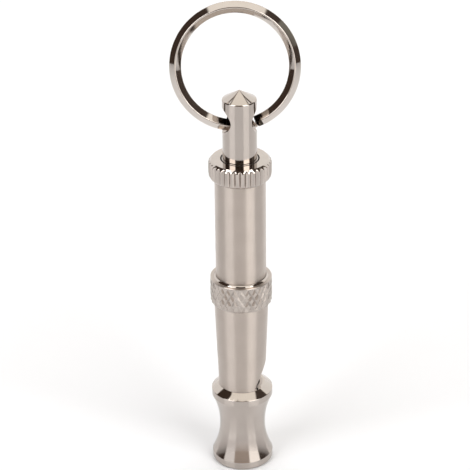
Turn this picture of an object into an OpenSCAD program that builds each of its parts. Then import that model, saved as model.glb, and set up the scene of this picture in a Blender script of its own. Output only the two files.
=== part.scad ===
// Ultrasonic dog whistle: waisted mouthpiece, tapered body with a sloped window, lock ring,
// screw-tuned barrel, swivel hanger post and split key ring.
// Millimetres, +Z up. It stands on the mouthpiece, with the key ring at the top.

/* [Mouthpiece] */
// Width of the foot
mouth_d = 12; // [11:0.1:14]
// Height of the plain band above the foot
mouth_band_h = 1.65; // [1:0.05:3]
// Width at the waist
waist_d = 9; // [8.4:0.1:10]
// Height of the waist above the foot
waist_z = 8; // [7:0.1:9]
// Width of the upper rim
rim_d = 12; // [11:0.1:14]
// Height of the upper rim's edge above the foot
rim_z = 16.15; // [15:0.05:20]
// Height of the plain band under the upper rim's edge
rim_band_h = 1.3; // [0.6:0.1:2]
// Rise of the sloped face from the rim to the body
rim_slope_h = 1.1; // [0.3:0.05:1.5]
// Width of the bore that is blown into
blow_d = 5.6; // [4.8:0.1:6]

/* [Body] */
// Width of the body where it meets the mouthpiece
foot_d = 9.1; // [8.9:0.1:10]
// Width of the body under the lock ring
shoulder_d = 10.5; // [9.8:0.1:11.4]
// Visible length of the tapered body
body_l = 18.7; // [17:0.1:26]
// Width of the sounding chamber's bore
chamber_d = 6.4; // [5.8:0.1:6.6]
// Depth of the window's slope at its foot
ramp_depth = 2.2; // [1.9:0.05:2.6]
// Angle between the window's slope and the axis
ramp_angle = 24; // [18:0.5:32]
// Depth of the windway between the plug's flat and the bore
windway_h = 0.7; // [0.4:0.05:0.9]
// Length of the spigot in the mouthpiece
spigot_l = 5; // [4:0.1:5.5]

/* [Tuning] */
// Chamber length when the barrel is screwed right in
chamber_min = 6.5; // [6:0.1:9]
// Lift of the piston and barrel over the tuning range
tuning_travel = 6; // [3:0.5:8]
// Length of the piston
piston_l = 4.75; // [4.5:0.05:7]
// Width of the piston rod
rod_d = 3; // [2.4:0.1:3.4]
// Width of the threaded neck that the barrel and lock ring turn on
neck_d = 8.1; // [7.9:0.05:8.4]
// Thickness of the O-ring's cord
cord_d = 1; // [0.8:0.05:1.1]

/* [Lock ring] */
// Width over the knurl
lock_d = 12; // [11:0.1:14]
// Height of the lock ring
lock_h = 5.25; // [4:0.05:8]

/* [Barrel] */
// Width of the barrel
barrel_d = 9.7; // [9.5:0.1:10.6]
// Length of the plain barrel under the flange
barrel_l = 20.85; // [19:0.05:30]
// Width of the flange over the knurl's tips
flange_d = 12; // [11.4:0.1:14]
// Height of the flange
flange_h = 4.1; // [3.4:0.05:6]
// Number of teeth in the straight knurl
knurl_count = 34; // [24:1:44]
// Depth of the straight knurl
knurl_depth = 0.5; // [0.2:0.05:0.6]

/* [Hanger] */
// Width of the swivel post
post_d = 6.5; // [6.4:0.1:7.4]
// Length of the post between the flange and its cone
post_l = 12.1; // [10.5:0.1:15]
// Height of the cone tip
tip_h = 1.8; // [1:0.1:3]
// Width of the cross hole
eye_d = 4.9; // [4.8:0.05:5.2]
// Distance of the cross hole's centre below the cone
eye_drop = 4.05; // [3.2:0.05:5]
// Outer width of the key ring
ring_od = 24.3; // [22:0.1:32]
// Width of the key ring's wire
wire_w = 2.2; // [1.6:0.05:2.3]
// Width of the narrow crest between the wire's two slopes
crest_w = 0.3; // [0.2:0.05:0.6]
// Turn of the post and its cross hole on the barrel, seen from above
post_turn = 7; // [-180:1:180]
// Turn of the key ring in the cross hole, seen from above
ring_yaw = -7; // [-8:1:8]
// Backward lean of the key ring
ring_lean = 13; // [0:1:60]
// Sideways tilt of the key ring in the cross hole
ring_tilt = 4.2; // [0:0.1:6]
// Place of the coil ends, to the right of the ring's lowest point
coil_end_angle = 15; // [14:1:160]

/* [Fits] */
// Radial room in a pressed or glued joint
press_c = 0.02; // [0.01:0.01:0.03]
// Radial room of a turning or sliding fit
run_c = 0.05; // [0.02:0.01:0.08]
// Room between the end faces of parts that turn on each other
seat_gap = 0.1; // [0.05:0.01:0.15]
// Room between the wire and the cross hole
ring_play = 0.2; // [0.15:0.01:0.4]
// Seam that shows round the collar at the foot of the post
seam_gap = 0.18; // [0.05:0.01:0.25]

/* [Hidden] */
$fn = 96;
mouth_r = mouth_d / 2;
waist_r = waist_d / 2;
rim_r = rim_d / 2;
foot_r = foot_d / 2;
shoulder_r = shoulder_d / 2;
chamber_r = chamber_d / 2;
neck_r = neck_d / 2;
sleeve_r = neck_r + run_c;
spigot_r = chamber_r + 0.8;
rod_r = rod_d / 2;
collar_r = rod_r + 0.5;
edge_c = 0.3;

// heights of the stack, from the foot up
mouth_top = rim_z + rim_slope_h;
rim_low = rim_z - rim_band_h;
body_top = mouth_top + body_l;
lock_z = body_top + seat_gap;
lock_top = lock_z + lock_h;
barrel_z = lock_top + seat_gap;
flange_z = barrel_z + barrel_l;
flange_top = flange_z + flange_h;
cone_z = flange_top + post_l;
tip_z = cone_z + tip_h;
eye_z = cone_z - eye_drop;

// the socket that takes the spigot, and the plug in the spigot
spigot_z = mouth_top - spigot_l;
socket_z = spigot_z - seat_gap;
plenum_z = waist_z + 1;

// the post's pocket and shank in the flange
pocket_depth = 1;
collar_step = 0.22;
foot_collar_r = post_d / 2 + collar_step;
pocket_r = foot_collar_r + seam_gap;
pocket_z = flange_top - pocket_depth;
roof_z = flange_z - 0.65;
shank_r = 2.25;
clip_t = 0.6;
clip_z = roof_z - seat_gap - clip_t;
clip_groove_r = 1.7;
clip_r = 3.4;
shank_z = clip_z - 0.6;

// the piston rod's head, and the neck that still holds the barrel when it is screwed right out
head_t = 3;
head_top = shank_z - 0.7;
head_z = head_top - head_t;
neck_hold = 6.7;
neck_top = barrel_z + tuning_travel + neck_hold;

// the piston at its lowest place
piston_z = mouth_top + chamber_min;
piston_top = piston_z + piston_l;
lip_t = 0.6;
collar_t = 0.8;
collar_z = piston_top - lip_t - seat_gap - collar_t;
cord_r = cord_d / 2;
cord_mid = chamber_r - press_c - cord_r;
groove_r = cord_mid - cord_r - press_c;
groove_z = piston_z + 1.5;

// the key ring
wire_r = wire_w / 2;
ring_mid = (ring_od - wire_w) / 2;
eye_low = eye_d / 2 - wire_r - ring_play;
ring_reach = ring_mid - eye_low;
coil_gap = 0.06;
wire_edge = 0.12;
step_half = 3;
end_gap = 4;

nickel = [0.72, 0.68, 0.65];
steel = [0.78, 0.78, 0.79];
brass = [0.80, 0.66, 0.38];
rubber = [0.10, 0.10, 0.11];

// radius of an arc that leaves the waist upright and reaches a place out and along
function flare_radius(out, along) = (out * out + along * along) / (2 * out);

module flare_cut(edge_r, edge_z, up) {
    arc_r = flare_radius(edge_r - waist_r, abs(edge_z - waist_z));
    intersection() {
        translate([waist_r + arc_r, waist_z]) circle(r = arc_r);
        translate([0, up ? waist_z : waist_z - 20]) square([mouth_d * 4, 20]);
    }
}

// waisted spool: the foot is stood on, the bore is blown into, the socket takes the body
module mouthpiece() {
    color(nickel)
    rotate_extrude()
    difference() {
        polygon([
            [0, 0],
            [mouth_r - edge_c, 0],
            [mouth_r, edge_c],
            [mouth_r, mouth_band_h],
            [rim_r, rim_low],
            [rim_r, rim_z],
            [foot_r, mouth_top - press_c],
            [0, mouth_top - press_c]
        ]);
        flare_cut(mouth_r, mouth_band_h, false);
        flare_cut(rim_r, rim_low, true);
        translate([-1, -1]) square([1 + blow_d / 2, 1 + mouth_top]);
        polygon([
            [0, plenum_z],
            [blow_d / 2, plenum_z],
            [chamber_r, socket_z],
            [0, socket_z]
        ]);
        translate([-1, socket_z]) square([1 + spigot_r + press_c, spigot_l + 1]);
    }
}

// block with a flat on the window side and a bevel that leads the breath onto it
module fipple_plug() {
    flat_x = chamber_r - windway_h;
    color(brass)
    difference() {
        translate([0, 0, spigot_z]) cylinder(r = chamber_r - press_c, h = spigot_l);
        translate([0, chamber_d, 0]) rotate([90, 0, 0]) linear_extrude(chamber_d * 2)
        polygon([
            [flat_x - 0.9, spigot_z - 1],
            [flat_x - 0.9, spigot_z],
            [flat_x, spigot_z + 2],
            [flat_x, mouth_top + 1],
            [chamber_d, mouth_top + 1],
            [chamber_d, spigot_z - 1]
        ]);
    }
}

// tapered tube with spigot, window and neck
module whistle_body() {
    foot_x = foot_r - ramp_depth;
    far_x = shoulder_r + 2;
    color(nickel)
    difference() {
        rotate_extrude()
        polygon([
            [chamber_r, spigot_z],
            [spigot_r - 0.2, spigot_z],
            [spigot_r, spigot_z + 0.2],
            [spigot_r, mouth_top],
            [foot_r, mouth_top],
            [shoulder_r, body_top - 0.25],
            [shoulder_r - 0.2, body_top],
            [neck_r, body_top],
            [neck_r, neck_top - 0.4],
            [neck_r - 0.4, neck_top],
            [chamber_r, neck_top]
        ]);
        translate([0, shoulder_d, 0]) rotate([90, 0, 0]) linear_extrude(shoulder_d * 2)
        polygon([
            [foot_x, mouth_top],
            [far_x, mouth_top],
            [far_x, mouth_top + (far_x - foot_x) / tan(ramp_angle)]
        ]);
    }
}

// nut on the neck that locks the tuning
module lock_ring() {
    color(nickel)
    rotate_extrude()
    polygon([
        [sleeve_r, lock_z + 0.2],
        [sleeve_r + 0.2, lock_z],
        [lock_d / 2 - 0.25, lock_z],
        [lock_d / 2, lock_z + 0.2],
        [lock_d / 2, lock_top - 0.3],
        [lock_d / 2 - 0.2, lock_top],
        [sleeve_r + 0.2, lock_top],
        [sleeve_r, lock_top - 0.2]
    ]);
}

// straight knurl as a ring of sharp teeth
module knurl_outline() {
    tip_r = flange_d / 2;
    polygon([
        for (i = [0 : 2 * knurl_count - 1])
            let (r = i % 2 == 0 ? tip_r : tip_r - knurl_depth, a = 180 * i / knurl_count)
                [r * cos(a), r * sin(a)]
    ]);
}

// rounded under-edge and bevelled top edge of the flange, a little wider than the tips
module flange_envelope() {
    tip_r = flange_d / 2;
    low_r = barrel_d / 2 - 0.2;
    drop = tip_r - low_r;
    over = 0.1;
    translate([0, 0, flange_z])
    rotate_extrude()
    polygon([
        [0, 0],
        [low_r, 0],
        [tip_r - drop * 0.45, drop * 0.2],
        [tip_r - drop * 0.12, drop * 0.5],
        [tip_r + over, drop * 0.5 + (drop * 0.12 + over) * 4],
        [tip_r + over, flange_h - 0.6 - over],
        [tip_r - 0.6, flange_h],
        [0, flange_h]
    ]);
}

// sleeve that turns on the neck, with the knurled flange and the post's pocket
module tuning_barrel() {
    color(nickel)
    difference() {
        union() {
            translate([0, 0, barrel_z]) cylinder(d = barrel_d, h = barrel_l + 1);
            intersection() {
                translate([0, 0, flange_z]) linear_extrude(flange_h) knurl_outline();
                flange_envelope();
            }
        }
        translate([0, 0, barrel_z - 1]) cylinder(r = sleeve_r, h = roof_z - barrel_z + 1);
        translate([0, 0, roof_z - 1]) cylinder(r = shank_r + run_c, h = flange_top - roof_z + 2);
        translate([0, 0, pocket_z]) cylinder(r = pocket_r, h = pocket_depth + 1);
    }
}

// rod with a head in the barrel and a collar in the piston
module piston_rod() {
    color(brass)
    rotate_extrude()
    polygon([
        [0, collar_z],
        [collar_r, collar_z],
        [collar_r, collar_z + collar_t],
        [rod_r, collar_z + collar_t],
        [rod_r, head_z],
        [sleeve_r - press_c - 0.3, head_z],
        [sleeve_r - press_c, head_z + 0.3],
        [sleeve_r - press_c, head_top],
        [0, head_top]
    ]);
}

// piston with a seal groove, closed round the rod's collar
module piston() {
    color(brass)
    rotate_extrude()
    difference() {
        translate([0, piston_z]) square([chamber_r - run_c, piston_l]);
        translate([groove_r, groove_z - cord_r - press_c]) square([chamber_r, cord_d + 2 * press_c]);
        translate([-1, collar_z - seat_gap]) square([1 + collar_r + run_c, collar_t + 2 * seat_gap]);
        translate([-1, collar_z]) square([1 + rod_r + run_c, piston_l]);
    }
}

module piston_o_ring() {
    color(rubber)
    rotate_extrude()
    translate([cord_mid, groove_z]) circle(r = cord_r);
}

// hanger with a cone tip, a cross hole and a grooved shank
module swivel_post() {
    post_r = post_d / 2;
    mouth = 0.25;
    color(nickel)
    rotate([0, 0, post_turn])
    difference() {
        rotate_extrude()
        polygon([
            [0, shank_z],
            [shank_r - 0.2, shank_z],
            [shank_r, shank_z + 0.2],
            [shank_r, clip_z - press_c],
            [clip_groove_r, clip_z - press_c],
            [clip_groove_r, clip_z + clip_t + press_c],
            [shank_r, clip_z + clip_t + press_c],
            [shank_r, pocket_z + seat_gap],
            [foot_collar_r, pocket_z + seat_gap],
            [foot_collar_r, flange_top],
            [post_r, flange_top],
            [post_r, cone_z],
            [0.15, tip_z],
            [0, tip_z]
        ]);
        translate([-post_d, 0, eye_z]) rotate([0, 90, 0]) cylinder(d = eye_d, h = post_d * 2);
        for (side = [-1, 1])
            translate([side * (post_r - mouth), 0, eye_z]) rotate([0, 90 * side, 0])
            cylinder(d1 = eye_d, d2 = eye_d + 4 * mouth, h = 2 * mouth);
    }
}

// open spring clip in the shank's groove
module post_clip() {
    color(steel)
    rotate([0, 0, post_turn])
    difference() {
        translate([0, 0, clip_z]) cylinder(r = clip_r, h = clip_t);
        translate([0, 0, clip_z - 1]) cylinder(r = clip_groove_r + press_c, h = clip_t + 2);
        translate([0, -clip_groove_r + 0.25, clip_z - 1])
        cube([clip_r + 1, 2 * clip_groove_r - 0.5, clip_t + 2]);
    }
}

// roof-shaped section of one coil, in front of or behind the parting plane
module coil_section(front) {
    crest_r = crest_w / 2;
    low = coil_gap / 2;
    mirror([0, front ? 0 : 1])
    polygon([
        [-wire_r, low],
        [wire_r, low],
        [wire_r, low + wire_edge],
        [crest_r, wire_r],
        [-crest_r, wire_r],
        [-wire_r, low + wire_edge]
    ]);
}

module coil(front, start, sweep) {
    rotate([0, 0, start]) rotate_extrude(angle = sweep)
    translate([ring_mid, 0]) coil_section(front);
}

// split ring: one wire that goes round twice, and steps from the front coil to the back one
module key_ring() {
    ends = coil_end_angle - 90;
    color(steel)
    translate([0, 0, eye_z])
    rotate([0, 0, post_turn + ring_yaw])
    rotate([-ring_lean, 0, 0])
    rotate([0, -ring_tilt, 0])
    translate([0, 0, ring_reach])
    rotate([90, 0, 0]) {
        coil(true, ends + step_half + end_gap, 360 - end_gap);
        coil(false, ends - step_half, 360 - end_gap);
        rotate([0, 0, ends - step_half]) rotate_extrude(angle = 2 * step_half)
        translate([ring_mid, 0]) square([wire_w * 0.8, wire_w * 0.2], center = true);
    }
}

mouthpiece();
fipple_plug();
whistle_body();
lock_ring();
tuning_barrel();
piston_rod();
piston();
piston_o_ring();
swivel_post();
post_clip();
key_ring();
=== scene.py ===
import math

import bmesh
import bpy
from mathutils import Matrix, Vector


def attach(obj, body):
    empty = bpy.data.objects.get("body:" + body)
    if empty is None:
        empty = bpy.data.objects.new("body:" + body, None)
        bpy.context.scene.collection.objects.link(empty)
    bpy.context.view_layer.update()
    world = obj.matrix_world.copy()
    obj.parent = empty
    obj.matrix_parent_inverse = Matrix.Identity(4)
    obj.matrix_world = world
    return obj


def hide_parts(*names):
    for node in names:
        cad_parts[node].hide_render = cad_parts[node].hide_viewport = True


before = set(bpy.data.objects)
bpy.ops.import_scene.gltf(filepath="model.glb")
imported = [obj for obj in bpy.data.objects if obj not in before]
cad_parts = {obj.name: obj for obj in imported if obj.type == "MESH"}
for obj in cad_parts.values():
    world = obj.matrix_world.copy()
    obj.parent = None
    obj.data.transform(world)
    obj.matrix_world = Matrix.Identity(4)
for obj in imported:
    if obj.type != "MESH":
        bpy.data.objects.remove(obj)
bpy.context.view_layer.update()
scene = bpy.context.scene
scene.view_settings.view_transform = "Standard"
mm = 0.001
print("frame loaded:", sorted(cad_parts))


# small helpers for edit mode and modifiers
def startClean():
    if bpy.context.mode != "OBJECT":
        bpy.ops.object.mode_set(mode="OBJECT")
    bpy.ops.object.select_all(action="DESELECT")


def editing(piece):
    startClean()
    bpy.context.view_layer.objects.active = piece
    piece.select_set(True)
    bpy.ops.object.mode_set(mode="EDIT")
    bpy.ops.mesh.select_mode(type="VERT")


def pick(piece, test):  # select corners by their place, in edit mode
    bpy.ops.mesh.select_all(action="DESELECT")
    grid = bmesh.from_edit_mesh(piece.data)
    for corner in grid.verts:
        corner.select = bool(test(corner.co))
    grid.select_flush(True)
    bmesh.update_edit_mesh(piece.data)


def pickedIndices(piece):
    return [c.index for c in bmesh.from_edit_mesh(piece.data).verts if c.select]


def pickIndices(piece, wanted):
    bpy.ops.mesh.select_all(action="DESELECT")
    grid = bmesh.from_edit_mesh(piece.data)
    grid.verts.ensure_lookup_table()
    for i in wanted:
        grid.verts[i].select = True
    grid.select_flush(True)
    bmesh.update_edit_mesh(piece.data)


def tidyMesh(piece, smoothAngle=22):  # merge, turn the faces outwards, smooth shading
    editing(piece)
    bpy.ops.mesh.select_all(action="SELECT")
    bpy.ops.mesh.remove_doubles(threshold=0.002 * mm)
    bpy.ops.mesh.normals_make_consistent(inside=False)
    bpy.ops.object.mode_set(mode="OBJECT")
    bpy.ops.object.shade_smooth_by_angle(angle=math.radians(smoothAngle))
    startClean()


def applyModifier(piece, modifier):
    startClean()
    bpy.context.view_layer.objects.active = piece
    piece.select_set(True)
    bpy.ops.object.modifier_apply(modifier=modifier.name)


def drawOutline(name, points, closed):  # points are (out, up, rounding), in mm, in the XZ plane
    startClean()
    bpy.ops.mesh.primitive_plane_add(size=mm, location=(0, 0, 0))
    piece = bpy.context.object
    piece.name = piece.data.name = name
    bpy.ops.object.mode_set(mode="EDIT")
    bpy.ops.mesh.select_mode(type="VERT")
    bpy.ops.mesh.select_all(action="SELECT")
    bpy.ops.mesh.merge(type="CENTER")
    bpy.ops.transform.translate(value=(points[0][0] * mm, 0, points[0][1] * mm))
    for a, b in zip(points, points[1:]):
        step = ((b[0] - a[0]) * mm, 0, (b[1] - a[1]) * mm)
        bpy.ops.mesh.extrude_vertices_move(TRANSFORM_OT_translate={"value": step})
    if closed:
        ends = [points[0], points[-1]]
        pick(piece, lambda co: any(isAt(co, e) for e in ends))
        bpy.ops.mesh.edge_face_add()
    for point in points:
        if len(point) > 2:
            pick(piece, lambda co: isAt(co, point))
            bpy.ops.mesh.bevel(offset=point[2] * mm, offset_type="OFFSET", segments=5, affect="VERTICES")
    bpy.ops.object.mode_set(mode="OBJECT")
    return piece


def isAt(co, point):
    return abs(co.x - point[0] * mm) < 0.004 * mm and abs(co.z - point[1] * mm) < 0.004 * mm


def turn(piece, steps=180, pitch=0.0, turns=1):  # lathe about the whistle's axis
    screw = piece.modifiers.new("turning", "SCREW")
    screw.axis = "Z"
    screw.angle = math.tau
    screw.steps = screw.render_steps = steps
    screw.screw_offset = pitch * mm
    screw.iterations = turns
    screw.use_merge_vertices = pitch == 0.0
    screw.merge_threshold = 0.002 * mm
    applyModifier(piece, screw)
    return piece


def turned(name, points, closed=True, steps=180):
    piece = turn(drawOutline(name, points, closed), steps)
    tidyMesh(piece)
    return piece


def arcPoints(start, end, count):  # arc that is upright at its start, without its two ends
    out, along = end[0] - start[0], end[1] - start[1]
    bend = (out * out + along * along) / (2 * out)
    full = math.asin(along / bend)
    places = [full * k / count for k in range(1, count)]
    return [(start[0] + bend * (1 - math.cos(a)), start[1] + bend * math.sin(a)) for a in places]


def openTube(name, count, out, low, high):  # ring of upright faces to grow a knurled piece from
    startClean()
    bpy.ops.mesh.primitive_cylinder_add(
        vertices=count, radius=out * mm, depth=(high - low) * mm,
        end_fill_type="NOTHING", location=(0, 0, (low + high) / 2 * mm))
    piece = bpy.context.object
    piece.name = piece.data.name = name
    bpy.ops.object.transform_apply(location=True, rotation=True, scale=True)
    editing(piece)
    return piece


def columnOf(co, count):  # a primitive's first corner is at +Y
    return round(math.atan2(co.x, co.y) / math.tau * count) % count


def shapeRing(piece, count, radiusOf):  # scale the picked ring's corners to their own radii
    ring = pickedIndices(piece)
    grid = bmesh.from_edit_mesh(piece.data)
    grid.verts.ensure_lookup_table()
    groups = {}
    for i in ring:
        co = grid.verts[i].co
        column = columnOf(co, count)
        scale = radiusOf(column) * mm / math.hypot(co.x, co.y)
        groups.setdefault(round(scale, 6), []).append(i)
    for scale, members in groups.items():
        pickIndices(piece, members)
        bpy.ops.transform.resize(value=(scale, scale, 1), center_override=(0, 0, 0))
    pickIndices(piece, ring)


def growRing(piece, count, lift, radiusOf):  # extrude the picked ring up or down and shape it
    bpy.ops.mesh.extrude_region_move(TRANSFORM_OT_translate={"value": (0, 0, lift * mm)})
    shapeRing(piece, count, radiusOf)


def finishPiece(piece, body, node, slot, *finishes):
    flats = piece.modifiers.new("flats", "WEIGHTED_NORMAL")  # wide faces stay flat beside round edges
    flats.keep_sharp = True
    applyModifier(piece, flats)
    startClean()
    piece.data.materials.clear()
    for finish in finishes:
        piece.data.materials.append(finish)
    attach(piece, body)
    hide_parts(node)
    print("piece:", piece.name, len(piece.data.polygons), "faces")


def giveFaces(piece, index, test):  # put another finish on the faces that pass the test
    for face in piece.data.polygons:
        if test(face.center / mm, face.normal):
            face.material_index = index


# finishes
def link(tree, a, outName, b, inName):
    tree.links.new(a.outputs[outName], b.inputs[inName])


def addNode(tree, kind, **values):
    node = tree.nodes.new(kind)
    for key, value in values.items():
        setattr(node, key, value)
    return node


def newFinish(name):
    finish = bpy.data.materials.new(name)
    finish.use_nodes = True
    tree = finish.node_tree
    return finish, tree, tree.nodes["Principled BSDF"]


def turnedMetal(name, look):  # plated metal with the lathe's fine rings, faint clouds and tiny scratches
    finish, tree, shader = newFinish(name)
    place = addNode(tree, "ShaderNodeTexCoord")
    split = addNode(tree, "ShaderNodeSeparateXYZ")
    link(tree, place, "Object", split, "Vector")
    flat = addNode(tree, "ShaderNodeCombineXYZ")
    link(tree, split, "X", flat, "X")
    link(tree, split, "Y", flat, "Y")
    out = addNode(tree, "ShaderNodeVectorMath", operation="LENGTH")
    link(tree, flat, "Vector", out, 0)
    along = addNode(tree, "ShaderNodeCombineXYZ")  # distance from the axis and height, for rings
    link(tree, out, "Value", along, "X")
    link(tree, split, "Z", along, "Y")
    rings = addNode(tree, "ShaderNodeTexNoise", noise_dimensions="2D")
    rings.inputs["Scale"].default_value = look["ringScale"]
    rings.inputs["Detail"].default_value = 3.0
    link(tree, along, "Vector", rings, "Vector")
    clouds = addNode(tree, "ShaderNodeTexNoise")
    clouds.inputs["Scale"].default_value = look["cloudScale"]
    clouds.inputs["Detail"].default_value = 4.0
    link(tree, place, "Object", clouds, "Vector")
    tint = addNode(tree, "ShaderNodeValToRGB")
    tint.color_ramp.elements[0].position, tint.color_ramp.elements[1].position = 0.3, 0.7
    tint.color_ramp.elements[0].color = (*look["darkTint"], 1)
    tint.color_ramp.elements[1].color = (*look["paleTint"], 1)
    link(tree, clouds, "Fac", tint, "Fac")
    link(tree, tint, "Color", shader, "Base Color")
    gloss = addNode(tree, "ShaderNodeMapRange")
    gloss.inputs["From Min"].default_value, gloss.inputs["From Max"].default_value = 0.3, 0.7
    gloss.inputs["To Min"].default_value, gloss.inputs["To Max"].default_value = look["roughness"]
    link(tree, rings, "Fac", gloss, "Value")
    link(tree, gloss, "Result", shader, "Roughness")
    relief = addNode(tree, "ShaderNodeBump")
    relief.inputs["Strength"].default_value = look["relief"]
    relief.inputs["Distance"].default_value = 0.01 * mm
    link(tree, rings, "Fac", relief, "Height")
    link(tree, relief, "Normal", shader, "Normal")
    shader.inputs["Metallic"].default_value = 1.0
    shader.inputs["Anisotropic"].default_value = look["grain"]
    shader.inputs["Anisotropic Rotation"].default_value = 0.25
    around = addNode(tree, "ShaderNodeTangent", direction_type="RADIAL", axis="Z")
    link(tree, around, "Tangent", shader, "Tangent")
    return finish


satinNickel = turnedMetal("satinNickel", {  # barrel and body, brushed round with fine paper
    "darkTint": (0.510, 0.450, 0.405), "paleTint": (0.545, 0.482, 0.436), "grain": 0.85,
    "roughness": (0.30, 0.36), "ringScale": 9000.0, "cloudScale": 260.0, "relief": 0.10})
brightNickel = turnedMetal("brightNickel", {  # mouthpiece, post and flange, buffed
    "darkTint": (0.458, 0.408, 0.374), "paleTint": (0.486, 0.436, 0.400), "grain": 0.3,
    "roughness": (0.09, 0.14), "ringScale": 8000.0, "cloudScale": 260.0, "relief": 0.06})
faceNickel = turnedMetal("faceNickel", {  # end faces and slopes, cut with a fine tool
    "darkTint": (0.545, 0.490, 0.445), "paleTint": (0.575, 0.520, 0.475), "grain": 0.0,
    "roughness": (0.05, 0.08), "ringScale": 7000.0, "cloudScale": 300.0, "relief": 0.04})
knurlNickel = turnedMetal("knurlNickel", {  # rolled knurl, a little dull
    "darkTint": (0.450, 0.402, 0.366), "paleTint": (0.510, 0.460, 0.422), "grain": 0.0,
    "roughness": (0.18, 0.26), "ringScale": 900.0, "cloudScale": 900.0, "relief": 0.0})
ringNickel = turnedMetal("ringNickel", {
    "darkTint": (0.590, 0.540, 0.500), "paleTint": (0.625, 0.575, 0.535), "grain": 0.0,
    "roughness": (0.05, 0.09), "ringScale": 700.0, "cloudScale": 500.0, "relief": 0.03})
innerBrass = turnedMetal("innerBrass", {
    "darkTint": (0.560, 0.390, 0.150), "paleTint": (0.660, 0.480, 0.210), "grain": 0.4,
    "roughness": (0.22, 0.34), "ringScale": 6000.0, "cloudScale": 400.0, "relief": 0.3})
paintedSeamShade = turnedMetal("paintedSeamShade", {  # painted shade: a dull, near-black film in the seams, between the coils and in the windway, where shade falls
    "darkTint": (0.050, 0.042, 0.034), "paleTint": (0.090, 0.078, 0.064), "grain": 0.0,
    "roughness": (0.45, 0.60), "ringScale": 3000.0, "cloudScale": 900.0, "relief": 0.2})
clipSteel = turnedMetal("clipSteel", {
    "darkTint": (0.300, 0.305, 0.315), "paleTint": (0.380, 0.385, 0.395), "grain": 0.0,
    "roughness": (0.28, 0.42), "ringScale": 5000.0, "cloudScale": 600.0, "relief": 0.2})


def makeSealRubber():
    look = {"dark": (0.012, 0.012, 0.013), "pale": (0.028, 0.028, 0.030), "grain": 4000.0}
    finish, tree, shader = newFinish("sealRubber")
    place = addNode(tree, "ShaderNodeTexCoord")
    grain = addNode(tree, "ShaderNodeTexNoise")
    grain.inputs["Scale"].default_value = look["grain"]
    link(tree, place, "Object", grain, "Vector")
    tint = addNode(tree, "ShaderNodeValToRGB")
    tint.color_ramp.elements[0].color = (*look["dark"], 1)
    tint.color_ramp.elements[1].color = (*look["pale"], 1)
    link(tree, grain, "Fac", tint, "Fac")
    link(tree, tint, "Color", shader, "Base Color")
    relief = addNode(tree, "ShaderNodeBump")
    relief.inputs["Strength"].default_value = 0.2
    relief.inputs["Distance"].default_value = 0.01 * mm
    link(tree, grain, "Fac", relief, "Height")
    link(tree, relief, "Normal", shader, "Normal")
    shader.inputs["Roughness"].default_value = 0.55
    return finish


sealRubber = makeSealRubber()
print("finishes ready")

# mouthpiece
mouth = {"foot": 6.0, "band": 1.65, "waist": 4.5, "waistUp": 8.0, "rim": 6.0, "rimLow": 14.85,
         "rimUp": 16.15, "top": 17.23, "seat": 4.56, "bore": 2.8, "socket": 4.02, "socketUp": 12.15}


def makeMouthpiece():
    m = mouth
    waist = (m["waist"], m["waistUp"])
    lowFlare = arcPoints(waist, (m["foot"], m["band"]), 20)[::-1]
    highFlare = arcPoints(waist, (m["rim"], m["rimLow"]), 20)
    points = [
        (m["bore"], 0.35), (m["bore"] + 0.35, 0.0, 0.12), (m["foot"] - 0.3, 0.0, 0.15),
        (m["foot"], 0.3, 0.15), (m["foot"], m["band"], 0.05), *lowFlare, waist, *highFlare,
        (m["rim"], m["rimLow"]), (m["rim"], m["rimUp"], 0.06), (m["seat"], m["top"]),
        (m["socket"], m["top"]), (m["socket"], m["socketUp"]), (3.2, m["socketUp"]),
        (m["bore"], 9.0)]
    piece = turned("Mouthpiece", points)
    finishPiece(piece, "body", "mouthpiece", "satin_nickel", brightNickel, faceNickel)
    giveFaces(piece, 1, lambda co, n: co.z > m["rimUp"] - 0.03 and n.z > 0.5)


makeMouthpiece()

# whistle body: tapered tube, window and threaded neck
bodyTube = {"bore": 3.2, "spigot": 4.0, "spigotUp": 12.25, "foot": 4.55, "footUp": 17.25, "shoulder": 5.25,
            "top": 35.95, "neckRoot": 3.62, "neckUp": 54.1, "threadCrest": 4.04, "threadPitch": 1.0,
            "threadTurns": 16, "threadUp": 36.3, "rampDepth": 2.2, "rampAngle": 24.0,
            "mouth": 3.5, "mouthUp": 16.05, "threadSink": 0.12, "threadFlanks": (0.06, 0.42, 0.58, 0.94),
            "windowReach": 8.0}


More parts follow.
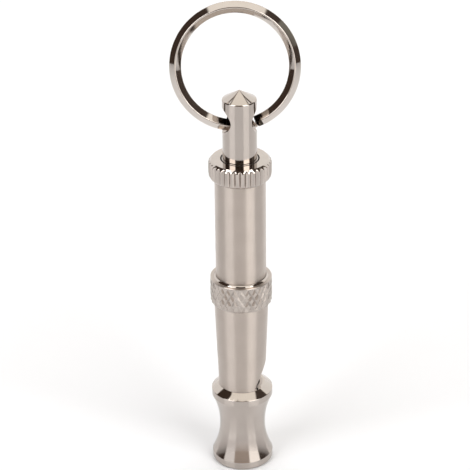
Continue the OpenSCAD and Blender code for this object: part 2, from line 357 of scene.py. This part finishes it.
def makeBody():
    b = bodyTube
    points = [
        (b["bore"], b["spigotUp"]), (b["spigot"] - 0.2, b["spigotUp"]), (b["spigot"], b["spigotUp"] + 0.2),
        (b["spigot"], b["footUp"]), (b["foot"], b["footUp"], 0.05),
        (b["shoulder"], b["top"] - 0.12, 0.05), (b["shoulder"] - 0.1, b["top"]),
        (b["neckRoot"], b["top"]), (b["neckRoot"], b["neckUp"] - 0.2), (b["neckRoot"] - 0.2, b["neckUp"]),
        (b["bore"], b["neckUp"]), (b["bore"], b["footUp"] + 0.05), (b["mouth"], b["footUp"] + 0.05),
        (b["mouth"], b["mouthUp"]), (b["bore"], b["mouthUp"])]
    tube = turned("WhistleBody", points)
    footX, farX = b["foot"] - b["rampDepth"], b["shoulder"] + 2
    farUp = b["footUp"] + (farX - footX) / math.tan(math.radians(b["rampAngle"]))
    wedge = drawOutline("windowCut", [(footX, b["footUp"]), (farX, b["footUp"]), (farX, farUp)], True)
    editing(wedge)
    bpy.ops.mesh.select_all(action="SELECT")
    bpy.ops.mesh.edge_face_add()
    reach = b["windowReach"] * mm
    bpy.ops.transform.translate(value=(0, -reach, 0))
    bpy.ops.mesh.extrude_region_move(TRANSFORM_OT_translate={"value": (0, 2 * reach, 0)})
    tidyMesh(wedge)
    window = tube.modifiers.new("window", "BOOLEAN")
    window.object, window.operation, window.solver = wedge, "DIFFERENCE", "EXACT"
    applyModifier(tube, window)
    bpy.data.objects.remove(wedge)
    root, crest, pitch = b["neckRoot"], b["threadCrest"], b["threadPitch"]
    sunk = root - b["threadSink"]
    foot, crestLow, crestHigh, head = [b["threadUp"] + share * pitch for share in b["threadFlanks"]]
    thread = drawOutline("neckThread", [
        (sunk, foot), (root, foot), (crest, crestLow), (crest, crestHigh), (root, head), (sunk, head)], True)
    turn(thread, 72, pitch, b["threadTurns"])
    editing(thread)
    bpy.ops.mesh.select_all(action="SELECT")
    bpy.ops.mesh.remove_doubles(threshold=0.002 * mm)
    bpy.ops.mesh.fill_holes(sides=0)
    tidyMesh(thread)
    thread.select_set(True)
    tube.select_set(True)
    bpy.context.view_layer.objects.active = tube
    bpy.ops.object.join()
    bpy.ops.object.shade_smooth_by_angle(angle=math.radians(22))
    finishPiece(tube, "body", "whistle_body", "satin_nickel", satinNickel, faceNickel, paintedSeamShade)
    giveFaces(tube, 1, lambda co, n: n.x > 0.3 and abs(n.z - math.sin(math.radians(-b["rampAngle"]))) < 0.05)
    # painted shade on the windway walls under the window
    giveFaces(tube, 2, lambda co, n: abs(n.z) < 0.5 and b["mouthUp"] - 0.01 < co.z < b["footUp"] + 0.06
              and b["bore"] - 0.01 < co.xy.length < b["mouth"] + 0.01)


makeBody()

# lock ring with a diamond knurl
lock = {"diamonds": 27, "rows": 4, "low": 36.05, "knurlLow": 36.25, "knurlHigh": 41.0, "high": 41.3,
        "crest": 6.109, "pit": 5.80, "endCrest": 5.95, "flatShare": 45, "rim": 5.93, "lip": 4.93,
        "bore": 4.1, "under": 5.75, "edge": 0.2, "lipHigh": 0.30, "lipFlat": 0.03, "lipEdge": 0.02}


def makeLockRing():
    k = lock
    count = 2 * k["diamonds"]
    rise = (k["knurlHigh"] - k["knurlLow"]) / k["rows"]
    piece = openTube("LockRing", count, k["pit"], k["knurlLow"], k["knurlLow"] + rise)
    pick(piece, lambda co: co.z > (k["knurlLow"] + rise / 2) * mm)
    for _ in range(k["rows"] - 1):
        bpy.ops.mesh.extrude_region_move(TRANSFORM_OT_translate={"value": (0, 0, rise * mm)})

    def row(co):
        return round((co.z / mm - k["knurlLow"]) / rise)

    def isCrest(co):  # every other corner stands out
        return (columnOf(co, count) + row(co)) % 2 == 0

    pick(piece, isCrest)
    shapeRing(piece, count, lambda c: k["crest"])
    pick(piece, lambda co: isCrest(co) and row(co) in (0, k["rows"]))
    shapeRing(piece, count, lambda c: k["endCrest"])
    bpy.ops.mesh.select_all(action="SELECT")
    bpy.ops.mesh.quads_convert_to_tris(quad_method="SHORTEST_DIAGONAL", ngon_method="BEAUTY")
    pick(piece, lambda co: math.hypot(co.x, co.y) > (k["crest"] - 0.02) * mm)
    bpy.ops.mesh.bevel(offset_type="PERCENT", offset_pct=k["flatShare"], offset=k["flatShare"],
                       segments=1, affect="VERTICES")
    pick(piece, lambda co: co.z < (k["knurlLow"] + 0.01) * mm)
    growRing(piece, count, k["low"] - k["knurlLow"], lambda c: k["under"])
    pick(piece, lambda co: co.z > (k["knurlHigh"] - 0.01) * mm)
    growRing(piece, count, 0.08, lambda c: k["rim"])
    growRing(piece, count, 0.12, lambda c: k["rim"])
    growRing(piece, count, k["high"] - k["knurlHigh"] - 0.2, lambda c: k["rim"] - 0.1)
    growRing(piece, count, 0, lambda c: k["lip"] + k["lipFlat"] + k["lipHigh"])
    growRing(piece, count, k["lipHigh"], lambda c: k["lip"] + k["lipFlat"])  # lip round the barrel's foot
    growRing(piece, count, k["lipEdge"], lambda c: k["lip"])
    growRing(piece, count, -k["lipHigh"] - k["lipEdge"], lambda c: k["lip"])
    growRing(piece, count, 0, lambda c: k["bore"] + k["edge"])
    growRing(piece, count, -k["edge"], lambda c: k["bore"])
    growRing(piece, count, k["low"] - k["high"] + 2 * k["edge"], lambda c: k["bore"])
    growRing(piece, count, -k["edge"], lambda c: k["bore"] + k["edge"])
    pick(piece, lambda co: co.z < (k["low"] + 0.01) * mm)
    bpy.ops.mesh.select_mode(type="EDGE")
    bpy.ops.mesh.bridge_edge_loops()
    tidyMesh(piece, 25)
    finishPiece(piece, "lock", "lock_ring", "satin_nickel", knurlNickel, satinNickel, faceNickel)
    giveFaces(piece, 1, lambda co, n: co.z > k["high"] - 0.12 and n.z > 0.5)
    giveFaces(piece, 2, lambda co, n: co.z > k["high"] + 0.1)


makeLockRing()

# tuning barrel with its straight-knurled flange
barrel = {"teeth": 34, "corners": 6, "low": 41.4, "out": 4.85, "bore": 4.1, "flangeTop": 66.35, "roof": 61.6,
          "pocket": 3.65, "pocketFloor": 65.35, "shankHole": 2.3, "bevelUp": 65.75,
          "toothShape": (5.98, 5.92, 5.77, 5.62, 5.77, 5.92),
          "edges": ((62.30, 4.85), (62.36, 5.10), (62.47, 5.34), (62.62, 5.55), (62.82, 5.73), (63.10, 5.88),
                    (63.50, 6.0), (65.75, 6.0), (65.85, 5.9), (65.95, 5.8), (66.05, 5.7), (66.15, 5.6),
                    (66.25, 5.5), (66.35, 5.4))}


def makeBarrel():
    b = barrel
    count = b["teeth"] * b["corners"]
    low = b["low"]
    piece = openTube("TuningBarrel", count, b["out"], low + 0.12, b["edges"][0][0])
    pick(piece, lambda co: co.z > 50 * mm)
    up = b["edges"][0][0]
    for level, limit in b["edges"][1:]:
        growRing(piece, count, level - up, lambda c: min(limit, b["toothShape"][(c + 3) % b["corners"]]))
        up = level
    growRing(piece, count, 0, lambda c: b["pocket"] + 0.06)
    growRing(piece, count, -0.06, lambda c: b["pocket"])
    growRing(piece, count, b["pocketFloor"] - b["flangeTop"] + 0.06, lambda c: b["pocket"])
    growRing(piece, count, 0, lambda c: b["shankHole"])
    growRing(piece, count, b["roof"] - b["pocketFloor"], lambda c: b["shankHole"])
    growRing(piece, count, 0, lambda c: b["bore"])
    growRing(piece, count, low - b["roof"] + 0.15, lambda c: b["bore"])
    growRing(piece, count, -0.15, lambda c: b["bore"] + 0.15)
    last = pickedIndices(piece)
    pick(piece, lambda co: abs(co.z - (low + 0.12) * mm) < 0.001 * mm)
    growRing(piece, count, -0.08, lambda c: b["out"] - 0.03)
    growRing(piece, count, -0.04, lambda c: b["out"] - 0.11)
    pickIndices(piece, last + pickedIndices(piece))
    bpy.ops.mesh.select_mode(type="EDGE")
    bpy.ops.mesh.bridge_edge_loops()
    tidyMesh(piece, 24)
    finishPiece(piece, "barrel", "tuning_barrel", "satin_nickel",
                satinNickel, faceNickel, brightNickel, paintedSeamShade)
    giveFaces(piece, 2, lambda co, n: co.z > b["edges"][0][0])
    giveFaces(piece, 1, lambda co, n: co.z > b["bevelUp"] and n.z > 0.4)
    # painted shade in the flange's pocket round the post's collar
    giveFaces(piece, 3, lambda co, n: b["pocketFloor"] - 0.1 < co.z < b["flangeTop"] - 0.001
              and co.xy.length < b["pocket"] + 0.08)


makeBarrel()

# swivel post with its cross hole
post = {"out": 3.25, "low": 60.3, "shank": 2.25, "clipLow": 60.88, "clipHigh": 61.52, "groove": 1.7,
        "collar": 3.47, "collarLow": 65.45, "flangeTop": 66.35, "cone": 78.45, "tip": 80.25, "eye": 2.45,
        "eyeUp": 74.4, "eyeEdge": 0.16, "turn": 7.0}


def saddle(y):
    return math.sqrt((post["out"] * mm) ** 2 - y * y)


def makePost():
    p = post
    points = [
        (0, p["low"]), (p["shank"] - 0.2, p["low"]), (p["shank"], p["low"] + 0.2), (p["shank"], p["clipLow"]),
        (p["groove"], p["clipLow"]), (p["groove"], p["clipHigh"]), (p["shank"], p["clipHigh"]),
        (p["shank"], p["collarLow"]), (p["collar"], p["collarLow"]), (p["collar"], p["flangeTop"], 0.04),
        (p["out"], p["flangeTop"]), (p["out"], p["cone"], 0.18), (0.14, p["tip"] - 0.02, 0.05), (0, p["tip"])]
    piece = turned("SwivelPost", points, False)
    startClean()
    bpy.ops.mesh.primitive_cylinder_add(vertices=96, radius=p["eye"] * mm, depth=2 * mm,
                                        rotation=(0, math.pi / 2, 0), location=(0, 0, 0))
    cutter = bpy.context.object
    bpy.ops.object.transform_apply(location=True, rotation=True, scale=True)
    editing(cutter)
    wide = 1 + p["eyeEdge"] / p["eye"]
    for side in (-1, 1):
        pick(cutter, lambda co: co.x * side > 0.9 * mm)
        bpy.ops.mesh.extrude_region_move(TRANSFORM_OT_translate={"value": (side * mm, 0, 0)})
        bpy.ops.transform.resize(value=(1, wide, wide), center_override=(0, 0, 0))
        bpy.ops.mesh.extrude_region_move(TRANSFORM_OT_translate={"value": (3 * side * mm, 0, 0)})
    for corner in bmesh.from_edit_mesh(cutter.data).verts:  # the bevel follows the post's round side
        side, level = math.copysign(1, corner.co.x), round(abs(corner.co.x) / mm)
        if level < 5:
            drop = p["eyeEdge"] if level == 1 else -0.01
            corner.co.x = side * (saddle(corner.co.y) - drop * mm)
    bmesh.update_edit_mesh(cutter.data)
    bpy.ops.mesh.select_all(action="SELECT")
    bpy.ops.transform.translate(value=(0, 0, p["eyeUp"] * mm))
    bpy.ops.transform.rotate(value=-math.radians(p["turn"]), orient_axis="Z", center_override=(0, 0, 0))
    tidyMesh(cutter)
    hole = piece.modifiers.new("crossHole", "BOOLEAN")
    hole.object, hole.operation, hole.solver = cutter, "DIFFERENCE", "EXACT"
    applyModifier(piece, hole)
    bpy.data.objects.remove(cutter)
    tidyMesh(piece, 28)
    finishPiece(piece, "post", "swivel_post", "satin_nickel", brightNickel, faceNickel, paintedSeamShade)
    giveFaces(piece, 1, lambda co, n: co.z > p["cone"] + 0.02 and n.z > 0.5)
    # painted shade on the collar's side inside the flange's pocket
    giveFaces(piece, 2, lambda co, n: p["collarLow"] < co.z < p["flangeTop"] - 0.0005
              and co.xy.length > p["collar"] - 0.06)


makePost()

# split key ring: one half-round wire that goes round twice
ring = {"middle": 11.05, "wire": 1.1, "gap": 0.03, "edge": 0.08, "crestRound": 0.22, "edgeRound": 0.05,
        "coilSteps": 150, "twistSteps": 12, "twistHalf": 3.5, "endGap": 3.0, "ends": 15.0,
        "tongue": 7.0, "tongueSteps": 6, "tongueRoot": 0.7, "tongueDrop": 0.1, "tongueRest": 0.006,
        "yaw": -7.0, "lean": 13.0, "tilt": 4.2, "reach": 9.9}


def turnPicked(degrees, axis, centre):  # without a window, rotate turns the other way
    bpy.ops.transform.rotate(value=-math.radians(degrees), orient_axis=axis, center_override=centre)


def spinCoil(degrees):
    bpy.ops.mesh.spin(steps=ring["coilSteps"], angle=math.radians(degrees), center=(0, 0, 0), axis=(0, 0, -1))


def makeKeyRing():
    r = ring
    inner, outer = r["middle"] - r["wire"], r["middle"] + r["wire"]
    low = r["gap"] + r["edge"]
    piece = drawOutline("KeyRing", [  # roof-shaped wire with a flat back against the other coil
        (inner, r["gap"]), (outer, r["gap"]), (outer, low, r["edgeRound"]),
        (r["middle"], low + r["wire"], r["crestRound"]), (inner, low, r["edgeRound"])], True)
    editing(piece)
    bpy.ops.mesh.select_all(action="SELECT")
    bpy.ops.mesh.edge_face_add()
    sweep = 360 - 2 * r["twistHalf"] - r["endGap"]
    bpy.ops.mesh.select_all(action="SELECT")
    spinCoil(sweep)  # front coil
    tip = pickedIndices(piece)
    bpy.ops.mesh.select_all(action="SELECT")
    turnPicked(-sweep, "Z", (0, 0, 0))
    pickIndices(piece, tip)
    for _ in range(r["twistSteps"]):  # the wire rolls over to the back
        bpy.ops.mesh.extrude_region_move()
        tip = pickedIndices(piece)
        bpy.ops.mesh.select_all(action="INVERT")
        turnPicked(-2 * r["twistHalf"] / r["twistSteps"], "Z", (0, 0, 0))
        pickIndices(piece, tip)
        turnPicked(180 / r["twistSteps"], "Y", (r["middle"] * mm, 0, 0))
    spinCoil(sweep)  # back coil
    bpy.ops.mesh.select_all(action="SELECT")
    turnPicked(r["ends"] - 90 + r["twistHalf"], "Z", (0, 0, 0))
    tidyMesh(piece, 35)
    rest = r["tongueRest"]
    tongue = drawOutline("ringTongue", [  # at the front end the inner half of the wire reaches further
        (inner + rest, r["gap"] + rest), (r["middle"] - r["tongueDrop"], r["gap"] + rest),
        (r["middle"] - r["tongueDrop"], low + r["wire"] - r["tongueDrop"] - rest),
        (inner + rest, low, r["edgeRound"])], True)
    editing(tongue)
    bpy.ops.mesh.select_all(action="SELECT")
    bpy.ops.mesh.edge_face_add()
    bpy.ops.mesh.spin(steps=r["tongueSteps"], angle=math.radians(r["tongue"]), center=(0, 0, 0), axis=(0, 0, 1))
    bpy.ops.mesh.select_all(action="SELECT")
    turnPicked(r["ends"] - 90 + r["twistHalf"] + r["endGap"] + r["tongueRoot"], "Z", (0, 0, 0))
    tidyMesh(tongue, 35)
    grown = piece.modifiers.new("tongue", "BOOLEAN")
    grown.object, grown.operation, grown.solver = tongue, "UNION", "EXACT"
    applyModifier(piece, grown)
    bpy.data.objects.remove(tongue)
    tidyMesh(piece, 35)
    place = (
        Matrix.Translation((0, 0, post["eyeUp"] * mm))
        @ Matrix.Rotation(math.radians(post["turn"] + r["yaw"]), 4, "Z")
        @ Matrix.Rotation(math.radians(-r["lean"]), 4, "X")
        @ Matrix.Rotation(math.radians(-r["tilt"]), 4, "Y") @ Matrix.Translation((0, 0, r["reach"] * mm))
        @ Matrix.Rotation(math.pi / 2, 4, "X"))
    piece.matrix_world = place
    piece.select_set(True)
    bpy.context.view_layer.objects.active = piece
    bpy.ops.object.transform_apply(location=True, rotation=True, scale=True)
    startClean()
    return piece, place


keyRing, ringPlace = makeKeyRing()
finishPiece(keyRing, "ring", "key_ring", "bright_nickel", ringNickel, paintedSeamShade)
ringFacing = ringPlace.to_3x3() @ Vector((0, 0, 1))
ringMiddle = ringPlace.translation / mm
giveFaces(keyRing, 1, lambda co, n: abs(n.dot(ringFacing)) > 0.99
          and abs((co - ringMiddle).dot(ringFacing)) < 0.06)  # painted shade on the flat backs where the coils part

# pieces that keep their CAD solid
for nodeName, finish in (("fipple_plug", innerBrass), ("piston_rod", innerBrass), ("piston", innerBrass),
                         ("piston_o_ring", sealRubber), ("post_clip", clipSteel)):
    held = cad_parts[nodeName]
    held.data.materials.clear()
    held.data.materials.append(finish)

# floor, studio and camera
startClean()
floorLook = {"size": 1.4, "paper": (0.90, 0.91, 0.935), "index": 1.38, "roughness": 0.1}
bpy.ops.mesh.primitive_plane_add(size=floorLook["size"], location=(0, 0, 0))
floor = bpy.context.object
floor.name = "Floor"
floorPaint, _, floorShader = newFinish("paleFloor")
floorShader.inputs["Base Color"].default_value = (*floorLook["paper"], 1)
floorShader.inputs["IOR"].default_value = floorLook["index"]
floorShader.inputs["Roughness"].default_value = floorLook["roughness"]
floor.data.materials.append(floorPaint)

studio = {  # panels of the studio: from and to (degrees from the camera's side), low and high, light
    "sky": (1.22, 1.17, 1.09),
    "panels": (
        (-180, -115, -90, 60, (1.10, 1.09, 1.08)),  # behind
        (115, 180, -90, 60, (1.12, 1.11, 1.09)),
        (-150, -112, 58, 62.5, (0.35, 0.32, 0.28)),  # dull frames over the sides
        (112, 150, 58, 62.5, (0.35, 0.32, 0.28)),
        (-52, -32, 55, 63, (1.7, 1.68, 1.64)),  # left soft box, weaker at its top and foot
        (-72, -32, 20, 57, (3.6, 3.6, 3.6)),
        (-72, -32, -90, 20, (1.25, 1.25, 1.25)),
        (25, 45, 55, 63, (1.8, 1.77, 1.72)),  # right soft box
        (25, 65, 20, 57, (4.0, 3.96, 3.86)),
        (25, 65, -90, 20, (1.8, 1.77, 1.72)),
        (-32, 25, -90, 18, (0.60, 0.52, 0.46)),  # low in front
        (-32, 25, 18, 66, (0.06, 0.04, 0.03)),
        (-115, -72, -90, 61, (0.06, 0.04, 0.03)),  # dark sides
        (65, 112, -90, 56, (0.08, 0.06, 0.05)),
        (90, 101, 9, 38, (0.26, 0.25, 0.22))),
    "soft": 1.5}


def makeStudio():  # two wide soft boxes in front, dark between and beside them, pale behind and above
    world = bpy.data.worlds.new("studio")
    scene.world = world
    world.use_nodes = True
    tree = world.node_tree
    tree.nodes.clear()
    sky = addNode(tree, "ShaderNodeBackground")
    target = addNode(tree, "ShaderNodeOutputWorld")
    link(tree, sky, "Background", target, "Surface")
    way = addNode(tree, "ShaderNodeTexCoord")
    split = addNode(tree, "ShaderNodeSeparateXYZ")
    link(tree, way, "Generated", split, "Vector")

    def calculate(operation, *values):
        node = addNode(tree, "ShaderNodeMath", operation=operation)
        for socket, value in zip(node.inputs, values):
            if isinstance(value, (int, float)):
                socket.default_value = value
            else:
                tree.links.new(value, socket)
        return node.outputs[0]

    def past(value, degrees):  # 0 before this angle and 1 after it
        node = addNode(tree, "ShaderNodeMapRange", interpolation_type="SMOOTHSTEP")
        tree.links.new(value, node.inputs["Value"])
        node.inputs["From Min"].default_value = math.radians(degrees - studio["soft"])
        node.inputs["From Max"].default_value = math.radians(degrees + studio["soft"])
        return node.outputs["Result"]

    def paint(under, cover, light):
        node = addNode(tree, "ShaderNodeMix", data_type="RGBA")
        tree.links.new(cover, node.inputs[0])
        if isinstance(under, tuple):
            node.inputs[6].default_value = (*under, 1)
        else:
            tree.links.new(under, node.inputs[6])
        node.inputs[7].default_value = (*light, 1)
        return node.outputs[2]

    around = calculate("ARCTAN2", split.outputs["X"], calculate("MULTIPLY", split.outputs["Y"], -1))
    rise = calculate("ARCSINE", split.outputs["Z"])
    light = studio["sky"]
    for start, end, low, high, panel in studio["panels"]:
        cover = calculate("SUBTRACT", past(around, start), past(around, end))
        cover = calculate("MULTIPLY", cover, calculate("SUBTRACT", past(rise, low), past(rise, high)))
        light = paint(light, cover, panel)
    seen = addNode(tree, "ShaderNodeLightPath")
    light = paint(light, seen.outputs["Is Camera Ray"], (1, 1, 1))
    tree.links.new(light, sky.inputs["Color"])


makeStudio()

view = {"aim": (0, 0, 0.04965), "distance": 0.3981, "elevation": 28.0, "lens": 159.6, "sensor": 36,
        "shift": (-0.0121, 0.0035), "roll": -0.0100}
rise = math.radians(view["elevation"])
back = Vector((0, -math.cos(rise), math.sin(rise)))
bpy.ops.object.camera_add(location=Vector(view["aim"]) + back * view["distance"])
camera = bpy.context.object
camera.rotation_mode = "QUATERNION"
rolled = Matrix.Rotation(view["roll"], 3, "Z").to_quaternion()
camera.rotation_quaternion = (-back).to_track_quat("-Z", "Y") @ rolled
camera.data.lens, camera.data.sensor_width = view["lens"], view["sensor"]
camera.data.shift_x, camera.data.shift_y = view["shift"]
camera.data.clip_start, camera.data.clip_end = 0.01, 20
scene.camera = camera
print("camera set")
